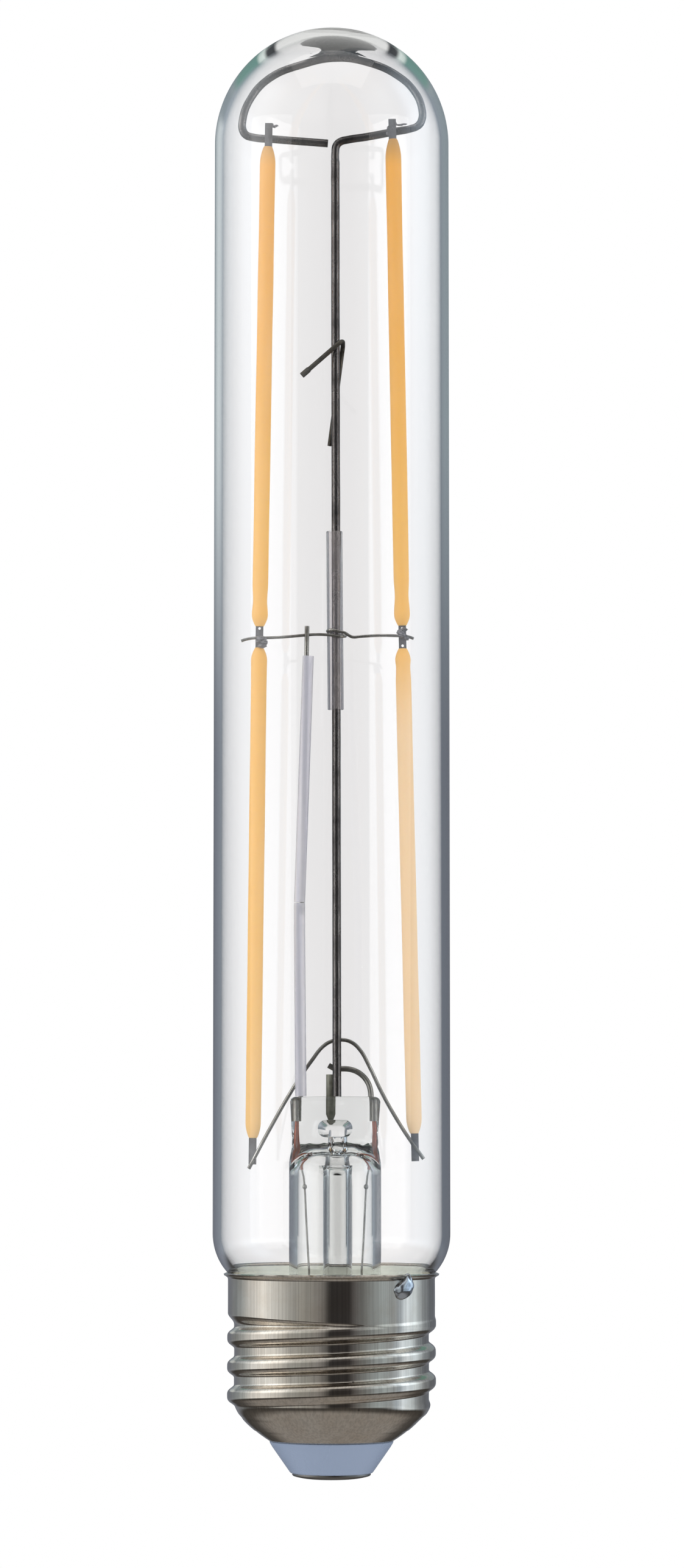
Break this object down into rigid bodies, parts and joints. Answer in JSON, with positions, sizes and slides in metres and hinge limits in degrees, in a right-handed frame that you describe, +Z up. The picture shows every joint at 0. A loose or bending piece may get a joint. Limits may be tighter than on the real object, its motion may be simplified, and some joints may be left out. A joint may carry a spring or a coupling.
{
  "type": "tubular light bulb",
  "caption": "Tubular clear-glass filament lamp with an Edison screw cap, straight coated filaments on a hooped support rod, and a small driver in the cap.",
  "frame": {"origin": "middle of the flat land of the centre contact, the lowest point of the lamp", "axes": "+Z up the tube to the dome, +X to the right with the filaments and the hoop in the XZ plane, -Y the side that is looked at"},
  "size_m": [0.03, 0.03, 0.185],
  "materials": {
    "clear_glass": "clear, colourless, smooth",
    "dull_steel": "drawn wire, dull grey",
    "nickel_wire": "drawn wire, satin",
    "copper_clad": "copper surface, oxidised in the seal",
    "fibre_sleeve": "woven glass fibre, matt off-white",
    "strip_metal": "thin bright strip",
    "amber_silicone": "translucent amber silicone with phosphor, satin",
    "nickel_plate": "nickel-plated sheet, satin",
    "insulator": "smooth pale grey-blue",
    "cement": "matt greenish cream",
    "solder": "bright, slightly wrinkled",
    "board": "green laminate",
    "black_plastic": "moulded black",
    "capacitor_can": "drawn can",
    "resistor_body": "lacquered body"
  },
  "bodies": {
    "root": {"glass_envelope": "clear_glass", "stem_flare": "clear_glass", "exhaust_tube": "clear_glass", "support_rod": "dull_steel", "rod_anchor": "dull_steel", "left_lead_lower": "nickel_wire", "left_lead_upper": "nickel_wire", "right_inner_lead": "nickel_wire", "left_seal_wire": "copper_clad", "right_seal_wire": "copper_clad", "left_outer_lead": "nickel_wire", "right_outer_lead": "nickel_wire", "lower_lead_sleeve": "fibre_sleeve", "upper_lead_sleeve": "fibre_sleeve", "rod_sleeve": "fibre_sleeve", "cross_wire": "nickel_wire", "arch_wire": "nickel_wire", "getter_wire": "dull_steel", "upper_left_strip": "strip_metal", "upper_left_coat": "amber_silicone", "upper_right_strip": "strip_metal", "upper_right_coat": "amber_silicone", "lower_left_strip": "strip_metal", "lower_left_coat": "amber_silicone", "lower_right_strip": "strip_metal", "lower_right_coat": "amber_silicone", "screw_cap": "nickel_plate", "cap_insulator": "insulator", "centre_contact": "nickel_plate", "cap_cement": "cement", "shell_wire": "copper_clad", "shell_solder": "solder", "contact_wire": "copper_clad", "driver_board": "board", "bridge_rectifier": "black_plastic", "driver_chip": "black_plastic", "smoothing_capacitor": "capacitor_can", "fuse_resistor": "resistor_body"}
  },
  "joints": []
}
